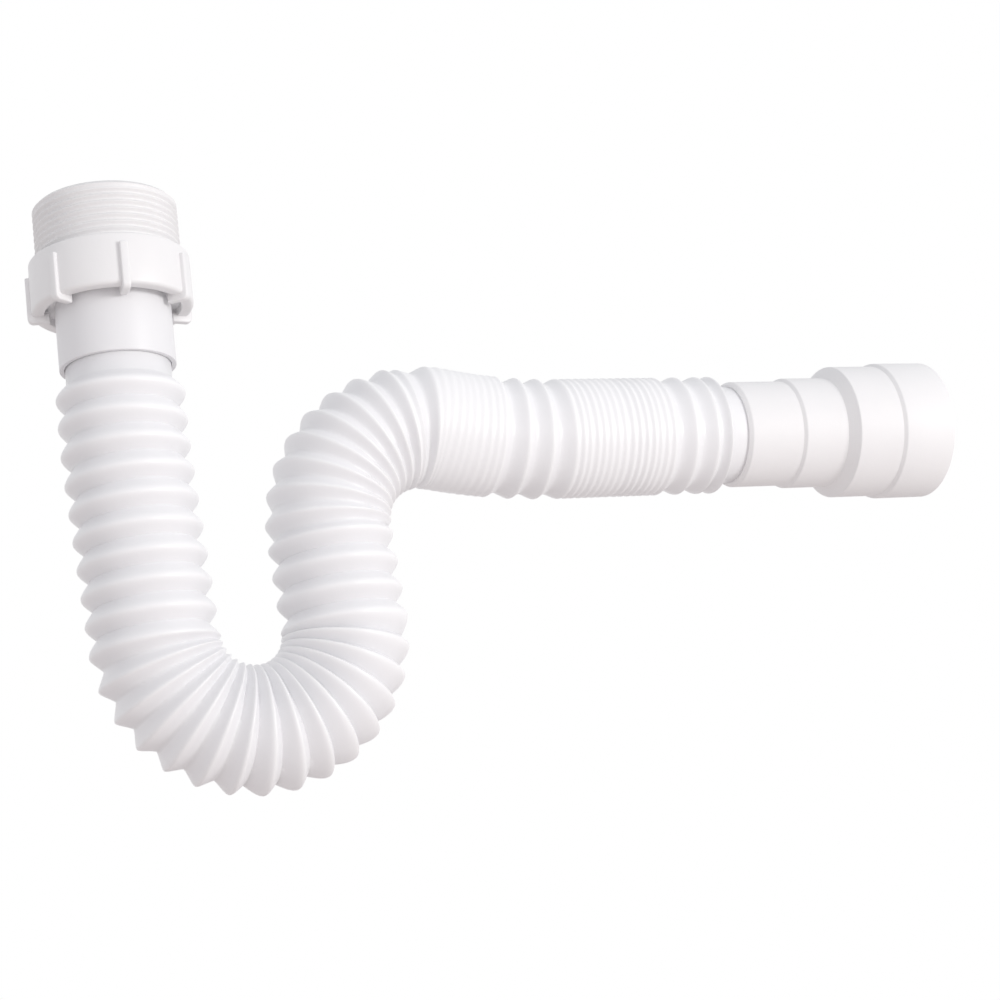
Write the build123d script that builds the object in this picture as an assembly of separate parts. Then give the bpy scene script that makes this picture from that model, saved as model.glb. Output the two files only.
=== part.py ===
from build123d import *
from math import acos, ceil, cos, radians, sin
import os

# Corrugated trap for a basin or sink waste, in millimetres.
# Origin: middle of the inlet mouth. +Z is up along the inlet, the outlet leaves along +X.

# Threaded adapter: male thread outside, smaller female thread inside
thread_d = 47.8            # male G 1 1/2, over the crests
adapter_length = 30.0
adapter_chamfer = 1.2      # lead-in at both ends of the thread
tapped_depth = 16.0        # female G 1 1/4, 39 mm inside its crests
tapped_step = 0.6          # tapped hole to the pocket of the inlet seal
seat_width = 2.9           # ledge under the inlet seal

# Seals
seal_thickness = 2.5
seal_play = 0.3            # radial play of a seal in its seat
flange_seal_inset = 0.7    # flange's edge to the flange seal

# Union nut
nut_height = 17.5
nut_wall = 2.4
nut_chamfer = 0.8
nut_bottom_chamfer = 1.4
nut_lip = 2.5              # lip that carries the sleeve's flange
thread_play = 0.15         # radial, nut on adapter
lip_play = 2.2             # radial, lip round the sleeve
rib_count = 7
rib_angle = 1.0            # turn of the first rib from the front
rib_width = 2.0
rib_height = 1.4           # over the nut's side
rib_top_gap = 3.5          # nut's top edge to the ribs
rib_foot_drop = 2.0        # how far the feet stand below the nut
rib_foot_gap = 1.6         # sleeve to the feet
rib_corner = 1.4

# Flanged sleeve
flange_play = 0.45         # radial, flange in the nut
flange_thickness = 2.0
sleeve_wall = 1.65
sleeve_exposed = 19.7      # below the nut
sleeve_stop = 5.5          # flange underside to the stop over the tube's cuff
stop_width = 1.35          # how far the stop reaches in over the cuff
mouth_lip = 0.9            # wall left at the flared lower mouth
mouth_depth = 4.5
cuff_play = 0.15           # radial, cuff in sleeve and in spigot

# Corrugated tube
root_d = 34.4              # valleys and plain cuffs
fold_height = 3.8          # valley to crest of an open fold
outlet_fold_height = 2.8   # the open folds on the outlet leg are shallower
tube_wall = 1.1            # at the valleys and cuffs
bore_sag = 0.4             # the bore rounds a bend in straight pieces that stay this close to the arc
groove_depth = 0.6         # valley left showing between two closed folds
top_cuff = 22.4            # stop in the sleeve to the first fold
end_cuff = 22.4            # last fold to the stop in the spigot

# Folds from inlet to outlet
leg_pitch = 9.3            # open folds on the two upright legs
bend_pitch = 6.6           # folds round the water-seal bend
shoulder_pitch = 6.0       # folds round the upper bend
closed_pitch = 2.65        # folds pushed shut
outlet_pitch = 8.4         # open folds on the outlet leg
end_pitch = 5.2            # half-open fold before the spigot
inlet_leg_folds = 9
bend_folds = 14
rising_leg_folds = 5
shoulder_folds = 8
first_pack_folds = 9
middle_folds = 3
second_pack_folds = 14
last_folds = 2
end_folds = 1

# Centreline of the tube
lean_start = 36.0          # straight run below the stop in the sleeve
lean_angle = 3.5           # inlet leg leans towards the outlet
lean_radius = 300.0
inlet_leg = 55.6
bend_radius = 31.5
rising_leg = 30.7
rising_lean = 3.0          # rising leg leans back
shoulder_radius = 34.5
dip_angle = 12.0           # outlet leg dips behind the upper bend, then runs level
dip_radius = 208.0

# Stepped outlet spigot, from its entry to its rim
step1_wall = 1.65          # round the cuff, 38 mm outside
step1_cone = 1.9           # cone that leads up to the step
step1_length = 18.9
step2_d = 40.0
step2_cone = 1.9
step2_length = 16.2
step3_d = 48.0
step3_cone = 3.1
step3_length = 16.9
step4_d = 50.0
step4_cone = 2.3
step4_length = 19.1
spigot_wall = 1.8
spigot_lip = 0.6           # flat ring at the spigot's entry
spigot_socket = 17.0       # how deep the cuff goes in
rim_chamfer = 0.6

# Radii, from the tube outwards
root_r = root_d / 2
crest_r = root_r + fold_height
bore_r = root_r - tube_wall
socket_r = root_r + cuff_play
sleeve_r = socket_r + sleeve_wall
mouth_r = sleeve_r - mouth_lip
flow_r = socket_r - stop_width
seat_r = flow_r + seat_width
tapped_r = seat_r + tapped_step
thread_r = thread_d / 2
nut_bore_r = thread_r + thread_play
nut_hole_r = sleeve_r + lip_play
nut_r = nut_bore_r + nut_wall
flange_r = nut_bore_r - flange_play
flange_seal_r = flange_r - flange_seal_inset
step1_r = socket_r + step1_wall


def turned(*points):
    """Body of revolution about Z from (radius, height) points."""
    return revolve(make_face(Plane.XZ * Polyline(*points, close=True)), Axis.Z)


# Heights of the stack, from the mouth down
seat_floor = -tapped_depth - seal_thickness
adapter_end = -adapter_length
flange_top = adapter_end - seal_thickness
lip_top = flange_top - flange_thickness
nut_bottom = lip_top - nut_lip
nut_top = nut_bottom + nut_height
sleeve_end = nut_bottom - sleeve_exposed
cuff_top = lip_top - sleeve_stop

threaded_adapter = turned(
    (tapped_r, 0),
    (thread_r - adapter_chamfer, 0),
    (thread_r, -adapter_chamfer),
    (thread_r, adapter_end + adapter_chamfer),
    (thread_r - adapter_chamfer, adapter_end),
    (flow_r, adapter_end),
    (flow_r, seat_floor),
    (seat_r, seat_floor),
    (seat_r, -tapped_depth),
    (tapped_r, -tapped_depth),
)

inlet_seal = turned(
    (flow_r, seat_floor),
    (seat_r - seal_play, seat_floor),
    (seat_r - seal_play, seat_floor + seal_thickness),
    (flow_r, seat_floor + seal_thickness),
)

nut_body = turned(
    (nut_bore_r, nut_top),
    (nut_r - nut_chamfer, nut_top),
    (nut_r, nut_top - nut_chamfer),
    (nut_r, nut_bottom + nut_bottom_chamfer),
    (nut_r - nut_bottom_chamfer, nut_bottom),
    (nut_hole_r, nut_bottom),
    (nut_hole_r, lip_top),
    (nut_bore_r, lip_top),
)
# One grip rib: down the side, round the bottom corner and inwards as a foot
rib_root = (nut_bore_r + nut_r) / 2
rib_r = nut_r + rib_height
rib_foot_r = sleeve_r + rib_foot_gap
rib_top = nut_top - rib_top_gap
rib_bottom = nut_bottom - rib_foot_drop
rib_face = make_face(Plane.XZ * Polyline(
    (rib_root, rib_top),
    (rib_r - rib_corner, rib_top),
    (rib_r, rib_top - rib_corner),
    (rib_r, rib_bottom + rib_corner),
    (rib_r - rib_corner, rib_bottom),
    (rib_foot_r, rib_bottom),
    (rib_foot_r, nut_bottom + nut_lip / 2),
    (rib_root, nut_bottom + nut_lip / 2),
    close=True,
))
rib = extrude(rib_face, amount=rib_width / 2, both=True)
rib_places = [rib_angle - 90 + 360 / rib_count * i for i in range(rib_count)]
union_nut = nut_body + [Rot(0, 0, place) * rib for place in rib_places]

flange_seal = turned(
    (flow_r, flange_top),
    (flange_seal_r, flange_top),
    (flange_seal_r, adapter_end),
    (flow_r, adapter_end),
)

flanged_sleeve = turned(
    (flow_r, flange_top),
    (flange_r, flange_top),
    (flange_r, lip_top),
    (sleeve_r, lip_top),
    (sleeve_r, sleeve_end),
    (mouth_r, sleeve_end),
    (socket_r, sleeve_end + mouth_depth),
    (socket_r, cuff_top),
    (flow_r, cuff_top),
)

# Centreline as runs of (length, turn in degrees), starting downwards in the XZ plane
bend_angle = 180 - lean_angle + rising_lean
shoulder_angle = 90 + rising_lean + dip_angle
first_crest = top_cuff + leg_pitch / 2
fold_runs = [
    (inlet_leg_folds, leg_pitch, fold_height),
    (bend_folds, bend_pitch, fold_height),
    (rising_leg_folds, leg_pitch, fold_height),
    (shoulder_folds, shoulder_pitch, fold_height),
    (first_pack_folds, closed_pitch, groove_depth),
    (middle_folds, outlet_pitch, outlet_fold_height),
    (second_pack_folds, closed_pitch, groove_depth),
    (last_folds, outlet_pitch, outlet_fold_height),
    (end_folds, end_pitch, outlet_fold_height),
]
last_crest = first_crest + sum(count * pitch for count, pitch, depth in fold_runs)
tube_length = last_crest + end_pitch / 2 + end_cuff
runs = [
    (lean_start, 0),
    (lean_radius * radians(lean_angle), lean_angle),
    (inlet_leg, 0),
    (bend_radius * radians(bend_angle), bend_angle),
    (rising_leg, 0),
    (shoulder_radius * radians(shoulder_angle), -shoulder_angle),
    (dip_radius * radians(dip_angle), dip_angle),
]
runs.append((tube_length - sum(length for length, turn in runs), 0))


def along(x, z, heading, length, turn):
    """End point and heading after one run of the centreline."""
    if turn == 0:
        return x + length * cos(radians(heading)), z + length * sin(radians(heading)), heading
    radius = length / radians(turn)
    end = heading + turn
    return (
        x + radius * (sin(radians(end)) - sin(radians(heading))),
        z - radius * (cos(radians(end)) - cos(radians(heading))),
        end,
    )


def station(s):
    """Plane square to the centreline at the distance s from its start."""
    x, z, heading = 0, cuff_top, -90
    for length, turn in runs:
        if s <= length:
            x, z, heading = along(x, z, heading, s, turn * s / length)
            break
        x, z, heading = along(x, z, heading, length, turn)
        s -= length
    return Plane(origin=(x, 0, z), x_dir=(0, 1, 0), z_dir=(cos(radians(heading)), 0, sin(radians(heading))))


def skin(rings):
    """Ruled body through circles given as (distance along the centreline, radius)."""
    return Solid.make_loft([Wire.make_circle(r, station(s)) for s, r in rings], ruled=True)


# Bellows: a crest and a valley for each fold
outside = [(0, root_r), (top_cuff, root_r), (first_crest, crest_r)]
crest = first_crest
for count, pitch, depth in fold_runs:
    for i in range(count):
        outside += [(crest + pitch / 2, crest_r - depth), (crest + pitch, crest_r)]
        crest += pitch
outside += [(crest + end_pitch / 2, root_r), (tube_length, root_r)]

inside = []
start = 0
for length, turn in runs:
    pieces = 1
    if turn:
        sweep = radians(abs(turn))
        pieces = ceil(sweep / (2 * acos(1 - bore_sag * sweep / length)))
    inside += [(start + length * i / pieces, bore_r) for i in range(pieces)]
    start += length
inside.append((tube_length, bore_r))
corrugated_tube = skin(outside) - skin(inside)

# Spigot, drawn upright with its entry at height 0, then laid on the outlet axis
step1_top = step1_cone + step1_length
step2_foot = step1_top + step2_cone
step2_top = step2_foot + step2_length
step3_foot = step2_top + step3_cone
step3_top = step3_foot + step3_length
step4_foot = step3_top + step4_cone
rim = step4_foot + step4_length
spigot = turned(
    (socket_r, 0),
    (socket_r + spigot_lip, 0),
    (step1_r, step1_cone),
    (step1_r, step1_top),
    (step2_d / 2, step2_foot),
    (step2_d / 2, step2_top),
    (step3_d / 2, step3_foot),
    (step3_d / 2, step3_top),
    (step4_d / 2, step4_foot),
    (step4_d / 2, rim - rim_chamfer),
    (step4_d / 2 - rim_chamfer, rim),
    (step4_d / 2 - spigot_wall, rim),
    (step4_d / 2 - spigot_wall, step4_foot),
    (step3_d / 2 - spigot_wall, step3_top),
    (step3_d / 2 - spigot_wall, step3_foot),
    (step2_d / 2 - spigot_wall, step2_top),
    (step2_d / 2 - spigot_wall, step2_foot),
    (bore_r, step1_top),
    (bore_r, spigot_socket),
    (socket_r, spigot_socket),
)
outlet_spigot = station(tube_length - spigot_socket) * spigot

parts = {
    "threaded_adapter": threaded_adapter,
    "inlet_seal": inlet_seal,
    "union_nut": union_nut,
    "flange_seal": flange_seal,
    "flanged_sleeve": flanged_sleeve,
    "corrugated_tube": corrugated_tube,
    "outlet_spigot": outlet_spigot,
}
os.makedirs("parts", exist_ok=True)
for name, shape in parts.items():
    export_step(shape, f"parts/{name}.step")
    print(name, round(shape.volume / 1000, 2), "cm3")
print("end of the tube", station(tube_length).origin)
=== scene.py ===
import random
from math import cos, hypot, inf, pi, radians, sin
import bmesh
import bpy
from mathutils import Matrix, Vector


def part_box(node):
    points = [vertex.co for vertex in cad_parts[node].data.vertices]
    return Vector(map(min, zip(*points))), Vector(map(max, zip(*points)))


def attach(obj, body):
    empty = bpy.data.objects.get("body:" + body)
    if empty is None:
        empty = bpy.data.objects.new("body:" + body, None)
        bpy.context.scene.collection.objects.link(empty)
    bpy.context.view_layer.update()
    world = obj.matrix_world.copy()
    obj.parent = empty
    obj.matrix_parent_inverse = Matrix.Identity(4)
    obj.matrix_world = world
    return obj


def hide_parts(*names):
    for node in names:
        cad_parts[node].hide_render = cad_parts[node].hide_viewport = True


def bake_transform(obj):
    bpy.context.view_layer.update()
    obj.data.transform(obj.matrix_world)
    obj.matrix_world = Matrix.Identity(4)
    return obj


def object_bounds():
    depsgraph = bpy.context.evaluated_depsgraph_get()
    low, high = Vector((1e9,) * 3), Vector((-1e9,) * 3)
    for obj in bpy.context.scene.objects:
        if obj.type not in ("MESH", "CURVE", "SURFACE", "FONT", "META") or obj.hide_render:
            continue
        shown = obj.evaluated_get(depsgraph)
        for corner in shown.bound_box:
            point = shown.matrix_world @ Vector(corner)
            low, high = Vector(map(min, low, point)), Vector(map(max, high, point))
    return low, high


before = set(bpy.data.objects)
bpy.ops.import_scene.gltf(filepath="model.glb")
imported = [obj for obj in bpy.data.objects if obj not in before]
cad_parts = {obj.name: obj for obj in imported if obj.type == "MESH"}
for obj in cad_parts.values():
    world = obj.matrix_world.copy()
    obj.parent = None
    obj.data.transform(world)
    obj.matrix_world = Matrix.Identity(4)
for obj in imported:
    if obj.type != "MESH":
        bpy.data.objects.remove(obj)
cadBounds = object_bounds()
mm = 0.001        # sizes below are in millimetres, the scene is in metres
samePlace = 1e-6  # metres, points nearer than this count as one
print("frame loaded:", ", ".join(sorted(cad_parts)))


# shader maths as plain expressions on sockets

class Wire:
    def __init__(self, tree, socket=None):
        self.tree = tree
        self.socket = socket

    def make(self, kind, settings, inputs, out=0):
        node = self.tree.nodes.new(kind)
        for key, value in settings.items():
            setattr(node, key, value)
        for key, value in inputs.items():
            if isinstance(value, Wire):
                self.tree.links.new(value.socket, node.inputs[key])
            else:
                node.inputs[key].default_value = value
        return Wire(self.tree, node.outputs[out]) if len(node.outputs) else node

    def maths(self, operation, first, second):
        return self.make("ShaderNodeMath", {"operation": operation}, {0: first, 1: second})

    def __add__(self, other):
        return self.maths("ADD", self, other)

    def __radd__(self, other):
        return self.maths("ADD", other, self)

    def __sub__(self, other):
        return self.maths("SUBTRACT", self, other)

    def __rsub__(self, other):
        return self.maths("SUBTRACT", other, self)

    def __mul__(self, other):
        return self.maths("MULTIPLY", self, other)

    def __rmul__(self, other):
        return self.maths("MULTIPLY", other, self)

    def __pow__(self, other):
        return self.maths("POWER", self, other)

    def __rpow__(self, other):
        return self.maths("POWER", other, self)


noiseMean = 0.5
grainDepth = 0.00012  # metres


def newMaterial(name):
    material = bpy.data.materials.new(name)
    material.use_nodes = True
    material.node_tree.nodes.clear()
    wire = Wire(material.node_tree)
    coords = wire.make("ShaderNodeTexCoord", {}, {}, "Object")
    return material, wire, coords


def noise(wire, coords, scale, detail):
    inputs = {"Vector": coords, "Scale": scale, "Detail": detail}
    return wire.make("ShaderNodeTexNoise", {}, inputs, "Fac")


def mixColour(wire, factor, first, second):
    settings = {"data_type": "RGBA", "clamp_factor": True}
    inputs = {"Factor": factor, 6: first, 7: second}  # 6 and 7 are the colour sockets, 2 the colour result
    return wire.make("ShaderNodeMix", settings, inputs, 2)


def grainBump(wire, grain, strength):
    inputs = {"Strength": strength, "Distance": grainDepth, "Height": grain}
    return wire.make("ShaderNodeBump", {}, inputs)


def coverWith(wire, inputs):
    shader = wire.make("ShaderNodeBsdfPrincipled", {}, inputs)
    wire.make("ShaderNodeOutputMaterial", {}, {"Surface": shader})


# white polypropylene: faint clouding from the mould, fine grain and, on the bellows, a painted highlight
# that makes the crests paler
plastics = {
    "adapter": {
        "tone": (0.83, 0.825, 0.82, 1), "shade": (0.79, 0.785, 0.79, 1), "rough": 0.42, "grain": 0.22},
    "nut": {
        "tone": (0.84, 0.835, 0.835, 1), "shade": (0.80, 0.795, 0.80, 1), "rough": 0.38, "grain": 0.18},
    "sleeve": {
        "tone": (0.81, 0.81, 0.82, 1), "shade": (0.78, 0.78, 0.795, 1), "rough": 0.42, "grain": 0.08},
    "tube": {
        "tone": (0.86, 0.86, 0.87, 1), "shade": (0.82, 0.82, 0.835, 1), "rough": 0.34, "grain": 0.12},
    "spigot": {
        "tone": (0.87, 0.865, 0.865, 1), "shade": (0.835, 0.83, 0.835, 1), "rough": 0.56, "grain": 0.10},
}
moulding = {
    "cloudScale": 38.0,     # per metre
    "cloudDetail": 3.0,
    "cloudRough": 0.10,     # spread of the roughness over the clouds
    "grainScale": 1500.0,
    "grainDetail": 2.0,
    "grainRough": 0.08,
    "refraction": 1.49,
    # crest tone and mix: a painted highlight, a paler colour laid over the fold crests
    "crestHighlightTone": (0.90, 0.90, 0.905, 1),
    "crestHighlightFocus": 6.0,      # higher keeps the painted highlight nearer to the crests
    "crestHighlightMix": 0.8,
    "crestRough": 0.06,
}


def whitePlastic(piece):
    look = plastics[piece]
    m = moulding
    material, wire, coords = newMaterial(piece + "White")
    cloud = noise(wire, coords, m["cloudScale"], m["cloudDetail"])
    grain = noise(wire, coords, m["grainScale"], m["grainDetail"])
    colour = mixColour(wire, cloud, look["shade"], look["tone"])
    roughness = look["rough"] + m["cloudRough"] * (cloud - noiseMean) + m["grainRough"] * (grain - noiseMean)
    if piece == "tube":
        height = wire.make("ShaderNodeAttribute", {"attribute_name": "foldHeight"}, {}, "Fac")
        # painted highlight: the colour turns paler towards each fold's crest, where the roughness also rises
        crest = height ** m["crestHighlightFocus"]
        colour = mixColour(wire, m["crestHighlightMix"] * crest, colour, m["crestHighlightTone"])
        roughness = roughness + m["crestRough"] * crest
    coverWith(wire, {
        "Base Color": colour, "Roughness": roughness, "IOR": m["refraction"],
        "Normal": grainBump(wire, grain, look["grain"])})
    return material


# black rubber of the two seals, with a faint grey bloom
rubber = {
    "tone": (0.018, 0.018, 0.02, 1),
    "bloomTone": (0.045, 0.045, 0.048, 1),
    "bloomScale": 160.0,    # per metre
    "bloomDetail": 4.0,
    "rough": 0.62,
    "bloomRough": 0.2,
    "grainScale": 2600.0,
    "grainDetail": 2.0,
    "grain": 0.3,
}


def blackRubber():
    material, wire, coords = newMaterial("sealRubber")
    bloom = noise(wire, coords, rubber["bloomScale"], rubber["bloomDetail"])
    grain = noise(wire, coords, rubber["grainScale"], rubber["grainDetail"])
    coverWith(wire, {
        "Base Color": mixColour(wire, bloom, rubber["tone"], rubber["bloomTone"]),
        "Roughness": rubber["rough"] + rubber["bloomRough"] * (bloom - noiseMean),
        "Normal": grainBump(wire, grain, rubber["grain"])})
    return material


# modelling helpers

def lathe(outline, segments):
    # a closed outline of (radius, height) spun about Z
    bm = bmesh.new()
    ring = [bm.verts.new((r * mm, 0, h * mm)) for r, h in outline]
    sides = [bm.edges.new((ring[i - 1], ring[i])) for i in range(len(ring))]
    bmesh.ops.spin(bm, geom=ring + sides, cent=(0, 0, 0), axis=(0, 0, 1), angle=2 * pi,
                   steps=segments, use_merge=True)
    bmesh.ops.remove_doubles(bm, verts=bm.verts, dist=samePlace)
    bmesh.ops.recalc_face_normals(bm, faces=bm.faces)
    return bm


def roundEdges(bm, edges, rounding, segments):
    return bmesh.ops.bevel(bm, geom=edges, offset=rounding * mm, offset_type="OFFSET", affect="EDGES",
                           segments=segments, profile=0.5, material=-1)


def isAt(v, r, h):
    # r is the distance from the Z axis
    return abs(hypot(v.co.x, v.co.y) - r * mm) < samePlace and abs(v.co.z - h * mm) < samePlace


def roundRings(bm, rings, segments=4):
    # rings are (radius, height, rounding)
    for r, h, rounding in rings:
        edges = [e for e in bm.edges if all(isAt(v, r, h) for v in e.verts)]
        roundEdges(bm, edges, rounding, segments)


def finishPiece(name, bm, material, sharpAngle=35):
    mesh = bpy.data.meshes.new(name)
    bm.to_mesh(mesh)
    bm.free()
    mesh.shade_smooth()
    mesh.set_sharp_from_angle(angle=radians(sharpAngle))
    mesh.materials.append(material)
    piece = bpy.data.objects.new(name, mesh)
    bpy.context.scene.collection.objects.link(piece)
    print("made", name, "with", len(mesh.polygons), "faces")
    return piece


# threaded adapter

adapter = {
    "chamfer": 1.2,
    "tappedR": 19.5,
    "tappedDepth": 16.0,
    "seatR": 18.9,
    "sealThickness": 2.5,
    "flowR": 16.0,
    "pitch": 2.309,         # 11 turns to the inch
    "threadDepth": 1.0,
    "tappedThread": 1.0,
    "grooveShape": 0.8,     # below 1 the grooves are wider than the crests
    "rowsPerPitch": 12,
    "segments": 120,
    "sharpAngle": 50,
}
wallReach = 0.01  # a point this near to a wall's radius lies on the wall


def cutThread(bm, radius, depth, pitch, top, bottom):
    # moves the rows of a wall in or out along a helix that fades at both ends
    for v in bm.verts:
        r = hypot(v.co.x, v.co.y) / mm
        h = v.co.z / mm
        if abs(r - radius) > wallReach or not bottom <= h <= top:
            continue
        turn = Vector((v.co.x, v.co.y)).angle_signed(Vector((1, 0)), 0) / (2 * pi)
        wave = 0.5 - 0.5 * cos(2 * pi * (h / pitch - turn))
        fade = min(1, (top - h) / pitch, (h - bottom) / pitch)
        scale = (r + depth * wave ** adapter["grooveShape"] * fade) / r
        v.co.x *= scale
        v.co.y *= scale


def makeAdapter():
    low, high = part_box("threaded_adapter")
    threadR = high.x / mm
    length = -low.z / mm
    a = adapter
    chamfer, pitch, tappedDepth = a["chamfer"], a["pitch"], a["tappedDepth"]
    step = pitch / a["rowsPerPitch"]
    outerRows = int((length - 2 * chamfer) / step)
    innerRows = int(tappedDepth / step)
    seatFloor = -tappedDepth - a["sealThickness"]
    outer = [(threadR, -chamfer - (length - 2 * chamfer) * i / outerRows) for i in range(outerRows + 1)]
    inner = [(a["tappedR"], -tappedDepth * (1 - i / innerRows)) for i in range(innerRows + 1)]
    outline = [
        (threadR - chamfer, 0), *outer, (threadR - chamfer, -length), (a["flowR"], -length),
        (a["flowR"], seatFloor), (a["seatR"], seatFloor), (a["seatR"], -tappedDepth), *inner]
    bm = lathe(outline, a["segments"])
    cutThread(bm, threadR, -a["threadDepth"], pitch, -chamfer, -length + chamfer)
    cutThread(bm, a["tappedR"], a["tappedThread"], pitch, 0, -tappedDepth)
    piece = finishPiece("adapterBush", bm, whitePlastic("adapter"), a["sharpAngle"])
    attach(piece, "adapter")
    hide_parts("threaded_adapter")


# union nut

nut = {
    "height": 17.5,
    "wall": 2.4,
    "topRound": 0.8,
    "bottomRound": 1.3,
    "boreRound": 0.3,
    "holeRound": 0.4,
    "lip": 2.5,
    "boreR": 24.05,
    "holeR": 22.3,
    "ribCount": 7,
    "ribAngle": -0.5,       # turn of the first rib from the front
    "ribWidth": 2.7,
    "ribProud": 1.4,
    "ribTopGap": 3.5,
    "ribFootDrop": 2.0,
    "ribFootR": 20.6,       # inner ends of the feet
    "ribCorner": 1.8,
    "ribCornerSteps": 5,
    "ribRound": 0.5,
    "ribRoundSteps": 3,
    "ribSharp": 40,         # edges of a rib that turn by more than this are rounded
    "segments": 112,
}


def addRib(bm, turn, top, bottom):
    # one L-shaped rib, drawn as a face in the XZ plane and thickened
    outerR = nut["boreR"] + nut["wall"] + nut["ribProud"]
    rootR = nut["boreR"] + nut["wall"] / 2
    ribTop = top - nut["ribTopGap"]
    foot = bottom - nut["ribFootDrop"]
    insideLip = bottom + nut["lip"] / 2
    outline = [
        (rootR, ribTop), (outerR, ribTop), (outerR, foot),
        (nut["ribFootR"], foot), (nut["ribFootR"], insideLip), (rootR, insideLip)]
    corners = [bm.verts.new((r * mm, -nut["ribWidth"] / 2 * mm, h * mm)) for r, h in outline]
    face = bm.faces.new(corners)
    grown = bmesh.ops.extrude_face_region(bm, geom=[face], use_keep_orig=True)["geom"]
    verts = [g for g in grown if isinstance(g, bmesh.types.BMVert)]
    bmesh.ops.translate(bm, verts=verts, vec=(0, nut["ribWidth"] * mm, 0))
    verts += corners
    faces = {f for v in verts for f in v.link_faces}
    bmesh.ops.recalc_face_normals(bm, faces=list(faces))

    def onHeel(v):
        return abs(v.co.x - outerR * mm) < samePlace and abs(v.co.z - foot * mm) < samePlace
    edges = {e for v in verts for e in v.link_edges}
    heel = [e for e in edges if all(onHeel(v) for v in e.verts)]
    rounded = roundEdges(bm, heel, nut["ribCorner"], nut["ribCornerSteps"])
    verts = list({v for v in verts if v.is_valid} | set(rounded["verts"]))
    edges = {e for v in verts for e in v.link_edges}
    sharp = [e for e in edges if e.calc_face_angle(0) > radians(nut["ribSharp"])]
    soft = roundEdges(bm, sharp, nut["ribRound"], nut["ribRoundSteps"])
    verts = list({v for v in verts if v.is_valid} | set(soft["verts"]))
    bmesh.ops.rotate(bm, verts=verts, cent=(0, 0, 0), matrix=Matrix.Rotation(radians(turn), 3, "Z"))


def makeNut():
    _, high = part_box("union_nut")
    top = high.z / mm
    bottom = top - nut["height"]
    lipTop = bottom + nut["lip"]
    outerR = nut["boreR"] + nut["wall"]
    outline = [
        (nut["boreR"], top), (outerR, top), (outerR, bottom), (nut["holeR"], bottom),
        (nut["holeR"], lipTop), (nut["boreR"], lipTop)]
    bm = lathe(outline, nut["segments"])
    roundRings(bm, [
        (outerR, top, nut["topRound"]), (outerR, bottom, nut["bottomRound"]),
        (nut["boreR"], top, nut["boreRound"]), (nut["holeR"], bottom, nut["holeRound"])])
    for i in range(nut["ribCount"]):
        addRib(bm, nut["ribAngle"] - 90 + 360 / nut["ribCount"] * i, top, bottom)
    piece = finishPiece("gripNut", bm, whitePlastic("nut"))
    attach(piece, "nut")
    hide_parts("union_nut")


# flanged sleeve

sleeve = {
    "flangeThickness": 2.0,
    "flangeRound": 0.4,
    "outerR": 19.0,
    "socketR": 17.35,
    "flowR": 16.0,
    "stop": 5.5,            # flange underside to the stop over the cuff
    "mouthR": 17.35,
    "mouthDepth": 3.0,
    "rimRound": 0.2,
    "segments": 112,
}


def makeSleeve():
    low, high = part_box("flanged_sleeve")
    top, bottom = high.z / mm, low.z / mm
    flangeR = high.x / mm
    under = top - sleeve["flangeThickness"]
    stop = under - sleeve["stop"]
    outline = [
        (sleeve["flowR"], top), (flangeR, top), (flangeR, under), (sleeve["outerR"], under),
        (sleeve["outerR"], bottom), (sleeve["mouthR"], bottom),
        (sleeve["socketR"], bottom + sleeve["mouthDepth"]), (sleeve["socketR"], stop),
        (sleeve["flowR"], stop)]
    bm = lathe(outline, sleeve["segments"])
    roundRings(bm, [
        (sleeve["outerR"], bottom, sleeve["rimRound"]), (sleeve["mouthR"], bottom, sleeve["rimRound"]),
        (flangeR, top, sleeve["flangeRound"]), (flangeR, under, sleeve["flangeRound"])])
    piece = finishPiece("hangingSleeve", bm, whitePlastic("sleeve"))
    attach(piece, "tube")
    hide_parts("flanged_sleeve")


# bellows tube

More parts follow.
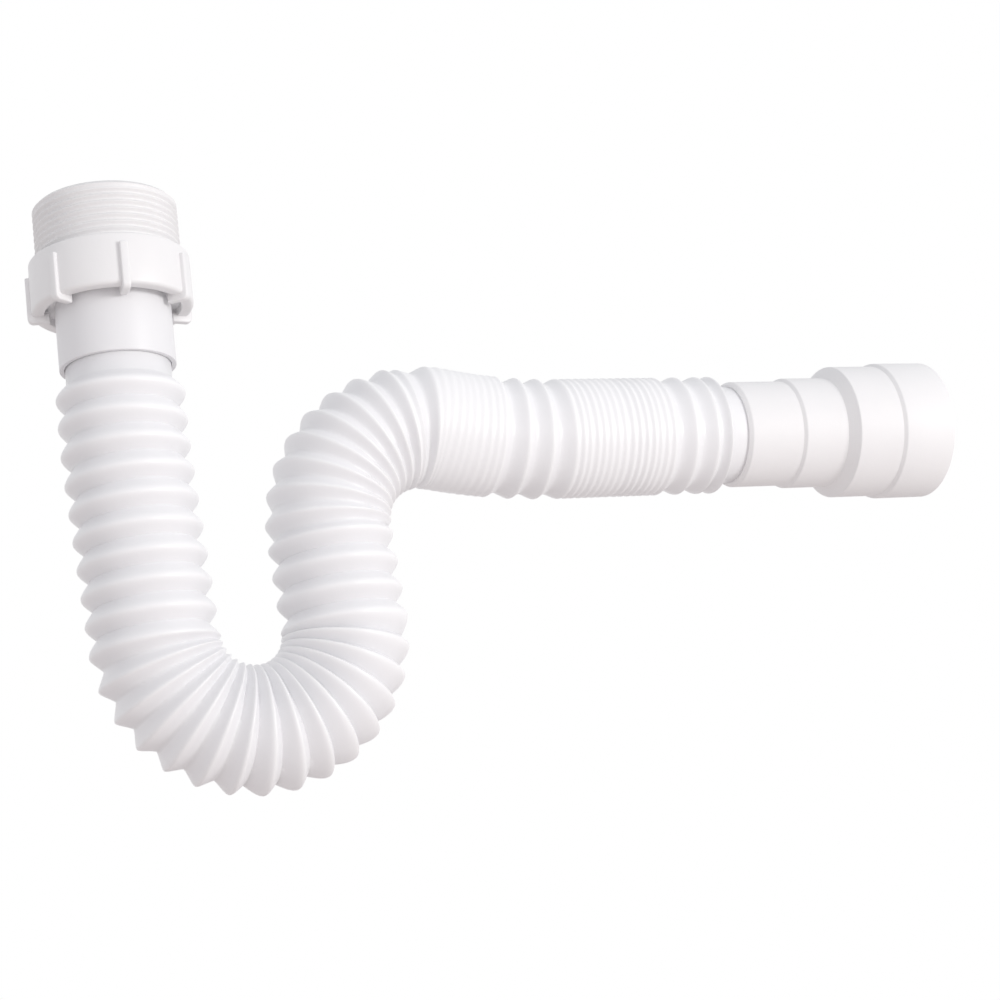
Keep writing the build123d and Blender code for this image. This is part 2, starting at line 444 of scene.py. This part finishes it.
shutPitch = 2.65            # of the folds that are pushed shut
bellows = {
    "startZ": -40.0,        # stop inside the sleeve
    "rootR": 17.2,
    "foldHeight": 3.8,
    "wall": 0.9,
    "topCuff": 22.4,
    "endCuff": 22.4,
    "openSteps": 6,         # rings on each flank
    "shutSteps": 3,
    "ringSpread": 1.15,     # above 1 the rings lie closer together near the crest
    "segments": 72,
    "sharpAngle": 80,
    "pinchStart": 5.0,      # a fold narrower than this on the inside of a bend starts to close
    "pinchEnd": 2.0,
    "pinchDepth": 0.3,      # share of its depth that still shows when closed
    # folds from inlet to outlet: count, pitch, depth that shows, how far the crest stays below the others,
    # place of the valley between two crests, roundness of the crest, hollowness of the flanks
    "folds": [
        (9, 9.3, 3.3, 0, 0.47, 0.35, 1.05),             # inlet leg
        (6, 6.62, 3.6, 0, 0.47, 0.12, 1.2),             # water-seal bend
        (3, 6.62, 3.6, 0, 0.36, 0.2, 1.05),
        (6, 6.32, 3.4, 0, 0.25, 0.3, 0.9),
        (3, 9.35, 3.3, 0, 0.47, 0.35, 1.05),            # rising leg
        (8, 6.45, 2.7, 0, 0.47, 0.12, 1.2),             # upper bend
        (1, 2.9, 1.5, 0.8, 0.47, 0.12, 1.2),            # half shut
        (1, 6.85, 2.5, 0, 0.47, 0.12, 1.2),
        (9, shutPitch, 0.4, 0, 0.47, 0.15, 1.1),        # outlet leg, first shut pack
        (3, 8.4, 1.8, 0, 0.38, 0.08, 1.5),
        (14, shutPitch, 0.4, 0, 0.47, 0.15, 1.1),       # second shut pack
        (2, 8.4, 1.8, 0, 0.38, 0.08, 1.5),
        (1, 5.2, 1.9, 0, 0.38, 0.08, 1.5),
    ],
    "shutUneven": 0.12,     # the shut folds don't lie quite evenly
    "unevenDepth": 3.0,     # a wider one of them is deeper by this times as much
    "shutSeed": 4,
    "leanStart": 36.0,      # centreline: straight start, slight lean, leg, bend, leg, shoulder, dip
    "leanAngle": 3.5,
    "leanRadius": 300.0,
    "inletLeg": 55.6,
    "bendRadius": 31.5,
    "risingLeg": 30.7,
    "risingLean": 3.0,
    "shoulderRadius": 34.5,
    "dipAngle": 12.0,
    "dipRadius": 208.0,
}


def centrelineRuns():
    # straight runs and arcs as (length, turn in degrees); the last straight run has no end
    b = bellows
    bendAngle = 180 - b["leanAngle"] + b["risingLean"]
    shoulderAngle = 90 + b["risingLean"] + b["dipAngle"]
    return [
        (b["leanStart"], 0),
        (b["leanRadius"] * radians(b["leanAngle"]), b["leanAngle"]),
        (b["inletLeg"], 0),
        (b["bendRadius"] * radians(bendAngle), bendAngle),
        (b["risingLeg"], 0),
        (b["shoulderRadius"] * radians(shoulderAngle), -shoulderAngle),
        (b["dipRadius"] * radians(b["dipAngle"]), b["dipAngle"]),
        (inf, 0),
    ]


def station(distance):
    # place on the centreline, its Z along the flow and its Y towards the left, and the curvature there
    x, z, heading = 0.0, bellows["startZ"], radians(-90)
    for length, turn in centrelineRuns():
        part = min(distance, length)
        bend = radians(turn) / length
        if turn:
            end = heading + bend * part
            x += (sin(end) - sin(heading)) / bend
            z -= (cos(end) - cos(heading)) / bend
            heading = end
        else:
            x += part * cos(heading)
            z += part * sin(heading)
        distance -= part
        if distance <= 0:
            break
    along = Vector((cos(heading), 0, sin(heading)))
    left = Vector((-sin(heading), 0, cos(heading)))
    place = Matrix((Vector((0, 1, 0)), left, along)).transposed().to_4x4()
    place.translation = Vector((x, 0, z)) * mm
    return place, bend


def flank(crest, crestR, valley, valleyR, roundness, hollow, steps):
    # rings as (distance, radius) from a crest to the valley beside it
    points = []
    for i in range(steps + 1):
        t = (i / steps) ** bellows["ringSpread"]
        fall = (hypot(t, roundness) - roundness) / (hypot(1, roundness) - roundness)
        points.append((crest + (valley - crest) * t, valleyR + (crestR - valleyR) * (1 - fall) ** hollow))
    return points


def foldRings():
    # (distance, outer radius, inner radius, pitch) of every ring, and the length of the tube
    b = bellows
    rootR, wall = b["rootR"], b["wall"]
    fullR = rootR + b["foldHeight"]
    _, firstPitch, _, _, _, *firstShape = b["folds"][0]
    _, lastPitch, _, _, _, *lastShape = b["folds"][-1]
    crest, crestR = b["topCuff"] + firstPitch / 2, fullR
    rings = [(0, rootR, rootR - wall, firstPitch)]

    def addRings(points, pitch):
        for s, r in points:
            inner = (rootR if pitch == shutPitch else r) - wall
            rings.append((s, r, inner, pitch))
    firstFlank = flank(crest, crestR, b["topCuff"], rootR, *firstShape, b["openSteps"])
    addRings(firstFlank[::-1], firstPitch)
    hand = random.Random(b["shutSeed"])
    for count, pitch, depth, crestDrop, valleyShare, *shape in b["folds"]:
        shut = pitch == shutPitch
        steps = b["shutSteps"] if shut else b["openSteps"]
        start = crest
        for i in range(1, count + 1):
            uneven = hand.uniform(-1, 1) * b["shutUneven"] if shut and i < count else 0
            nextCrest = start + pitch * (i + uneven)
            valley = crest + (nextCrest - crest) * valleyShare
            valleyR = fullR - depth * (1 + b["unevenDepth"] * uneven)
            addRings(flank(crest, crestR, valley, valleyR, *shape, steps)[1:], pitch)
            crest, crestR = nextCrest, fullR - crestDrop
            addRings(flank(crest, crestR, valley, valleyR, *shape, steps)[::-1][1:], pitch)
    lastValley = crest + lastPitch / 2
    addRings(flank(crest, crestR, lastValley, rootR, *lastShape, b["openSteps"])[1:], lastPitch)
    tubeLength = lastValley + b["endCuff"]
    rings.append((tubeLength, rootR, rootR - wall, lastPitch))
    return rings, tubeLength


def shownRadius(radius, pitch, bend, side):
    # on the inside of a bend the folds close up and show less of their depth
    b = bellows
    crestR = b["rootR"] + b["foldHeight"]
    width = pitch * (1 - bend * side * crestR)
    t = min(1, max(0, (width - b["pinchEnd"]) / (b["pinchStart"] - b["pinchEnd"])))
    depth = b["pinchDepth"] + (1 - b["pinchDepth"]) * t * t * (3 - 2 * t)  # a smooth step
    return crestR - (crestR - radius) * depth


def makeBellows():
    b = bellows
    rings, tubeLength = foldRings()
    # outside from the sleeve to the spigot, back along the inside and round to the start
    walk = [(s, outer, pitch, True) for s, outer, inner, pitch in rings]
    walk += [(s, inner, pitch, False) for s, outer, inner, pitch in reversed(rings)]
    walk.append(walk[0])
    places = [station(s) for s, radius, pitch, outside in walk]
    bm = bmesh.new()
    height = bm.verts.layers.float.new("foldHeight")
    # the grid runs from -1 to 1: its X becomes the angle round the tube, its Y the row of the walk
    bmesh.ops.create_grid(bm, x_segments=b["segments"], y_segments=len(walk) - 1, size=1.0)
    for v in bm.verts:
        angle = (v.co.x + 1) * pi
        row = round((v.co.y + 1) / 2 * (len(walk) - 1))
        s, radius, pitch, outside = walk[row]
        place, bend = places[row]
        if outside and bend and b["topCuff"] < s < tubeLength - b["endCuff"]:
            radius = shownRadius(radius, pitch, bend, sin(angle))
        v.co = place @ Vector((radius * cos(angle) * mm, radius * sin(angle) * mm, 0))
        v[height] = max(0, (radius - b["rootR"]) / b["foldHeight"]) if outside else 0
    bmesh.ops.remove_doubles(bm, verts=bm.verts, dist=samePlace)
    bmesh.ops.recalc_face_normals(bm, faces=bm.faces)
    piece = finishPiece("bellowsTube", bm, whitePlastic("tube"), b["sharpAngle"])
    # the outlet leg stretches, from the end of the shoulder to the cuff in the spigot; these two places are
    # found but not used
    stretchStart, _ = station(sum(length for length, turn in centrelineRuns()[:-2]))
    stretchEnd, _ = station(tubeLength - b["endCuff"])
    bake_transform(piece)
    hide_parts("corrugated_tube")


# stepped spigot

spigot = {
    "socketR": 17.22,
    "lipR": 17.95,
    "socketDepth": 17.0,
    "boreR": 16.1,
    "wall": 1.8,
    # steps from the entry to the rim: outer radius, cone before it, length
    "steps": [(19.0, 1.2, 20.0), (20.0, 1.1, 16.6), (24.0, 3.0, 17.4), (25.0, 1.2, 19.8)],
    "shoulderRound": 0.3,
    "footRound": 0.1,
    "rimRound": 0.6,
    "segments": 112,
}


def makeSpigot():
    low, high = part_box("outlet_spigot")
    wall, socketDepth = spigot["wall"], spigot["socketDepth"]
    outside = [(spigot["lipR"], 0)]
    inside = []
    rounds = []
    h = 0
    for r, cone, length in spigot["steps"]:
        rounds += [(outside[-1][0], h, spigot["footRound"]), (r, h + cone, spigot["shoulderRound"])]
        outside += [(r, h + cone), (r, h + cone + length)]
        inside += [(r - wall, h + cone), (r - wall, h + cone + length)]
        h += cone + length
    rim = (outside[-1][0], h, spigot["rimRound"])
    firstEnd = outside[2][1]
    # the first step holds the tube's cuff
    inside[:2] = [
        (spigot["socketR"], 0), (spigot["socketR"], socketDepth),
        (spigot["boreR"], socketDepth), (spigot["boreR"], firstEnd)]
    bm = lathe(outside + inside[::-1], spigot["segments"])
    roundRings(bm, rounds[1:] + [rim])  # the lip at the entry stays sharp
    place = Matrix.Translation((low.x, 0, (low.z + high.z) / 2)) @ Matrix.Rotation(radians(90), 4, "Y")
    bmesh.ops.transform(bm, matrix=place, verts=bm.verts)
    piece = finishPiece("stepSpigot", bm, whitePlastic("spigot"))
    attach(piece, "spigot")
    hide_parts("outlet_spigot")


makeAdapter()
makeNut()
makeSleeve()
makeBellows()
makeSpigot()
sealLook = blackRubber()
for node in ("inlet_seal", "flange_seal"):
    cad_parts[node].data.materials.clear()
    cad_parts[node].data.materials.append(sealLook)
print("pieces made")


# studio

studio = {
    "floorDrop": 0.14,          # metres below the lowest point of the part
    "floorSize": 1.6,
    "floorTone": (0.93, 0.865, 0.84, 1),
    "floorShade": 0.97,         # share of that tone in the darker patches
    "floorRough": 0.7,
    "mottleScale": 9.0,         # per metre
    "mottleDetail": 4.0,
    "ambient": (0.96, 0.965, 1.0, 1),
    "ambientStrength": 0.72,
    # lamps: direction from the part (right, towards the camera, up), distance, size, power, colour
    "lamps": {
        "keyLamp": ((0.80, 0.54, 0.20), 3.0, 1.07, 51.0, (1.0, 0.99, 0.98)),
        "fillLamp": ((0.0, 0.95, 0.15), 1.3, 0.9, 1.5, (1.0, 0.95, 0.95)),
    },
}
shot = {
    "azimuth": -21.46,
    "elevation": -14.39,
    "roll": -7.61,
    "target": (127.16, 0.0, -106.0),
    "distance": 718.73,
    "lens": 75.29,
    "sensor": 36.0,
    "clipStart": 10.0,
}


def shotAxes():
    a, e, roll = (radians(shot[k]) for k in ("azimuth", "elevation", "roll"))
    back = Vector((sin(a) * cos(e), -cos(a) * cos(e), sin(e)))
    right = (-back).cross(Vector((0, 0, 1))).normalized()
    up = right.cross(-back)
    return right * cos(roll) + up * sin(roll), up * cos(roll) - right * sin(roll), back


def makeCamera():
    right, up, back = shotAxes()
    data = bpy.data.cameras.new("photoCamera")
    data.sensor_width = shot["sensor"]
    data.lens = shot["lens"]
    data.clip_start = shot["clipStart"] * mm
    camera = bpy.data.objects.new("photoCamera", data)
    bpy.context.scene.collection.objects.link(camera)
    place = Vector(shot["target"]) * mm + back * shot["distance"] * mm
    turned = Matrix((right, up, back)).transposed().to_4x4()
    camera.matrix_world = Matrix.Translation(place) @ turned
    bpy.context.scene.camera = camera


def makeLamps():
    right, _, back = shotAxes()
    target = Vector(shot["target"]) * mm
    for name, (direction, distance, size, power, colour) in studio["lamps"].items():
        data = bpy.data.lights.new(name, "AREA")
        data.shape = "DISK"
        data.size = size
        data.energy = power
        data.color = colour
        lamp = bpy.data.objects.new(name, data)
        bpy.context.scene.collection.objects.link(lamp)
        sideways, forward, upward = direction
        toLamp = (right * sideways + back * forward + Vector((0, 0, upward))).normalized()
        lamp.location = target + toLamp * distance
        lamp.rotation_mode = "QUATERNION"
        lamp.rotation_quaternion = (-toLamp).to_track_quat("-Z", "Y")


def makeWorld():
    world = bpy.data.worlds.new("studioWorld")
    world.use_nodes = True
    world.node_tree.nodes.clear()
    bpy.context.scene.world = world
    wire = Wire(world.node_tree)
    # white where it is seen, soft ambient light everywhere else
    seen = sum(wire.make("ShaderNodeLightPath", {}, {}, ray) for ray in (
        "Is Camera Ray", "Is Glossy Ray", "Is Transmission Ray"))
    ambient = wire.make("ShaderNodeBackground", {}, {
        "Color": studio["ambient"], "Strength": studio["ambientStrength"]})
    white = wire.make("ShaderNodeBackground", {}, {"Color": (1, 1, 1, 1), "Strength": 1.0})
    mixed = wire.make("ShaderNodeMixShader", {}, {0: seen, 1: ambient, 2: white})
    wire.make("ShaderNodeOutputWorld", {}, {"Surface": mixed})


def makeFloor():
    bm = bmesh.new()
    bmesh.ops.create_grid(bm, x_segments=1, y_segments=1, size=studio["floorSize"])
    centre = (cadBounds[0] + cadBounds[1]) / 2
    below = Vector((centre.x, centre.y, cadBounds[0].z - studio["floorDrop"]))
    bmesh.ops.translate(bm, verts=bm.verts, vec=below)
    material, wire, coords = newMaterial("paleFloor")
    mottle = noise(wire, coords, studio["mottleScale"], studio["mottleDetail"])
    tone = Vector(studio["floorTone"])
    coverWith(wire, {
        "Base Color": mixColour(wire, mottle, tone * studio["floorShade"], tone),
        "Roughness": studio["floorRough"]})
    finishPiece("paleFloor", bm, material)


makeCamera()
makeLamps()
makeWorld()
makeFloor()
bpy.context.scene.view_settings.view_transform = "Standard"
print("studio ready")
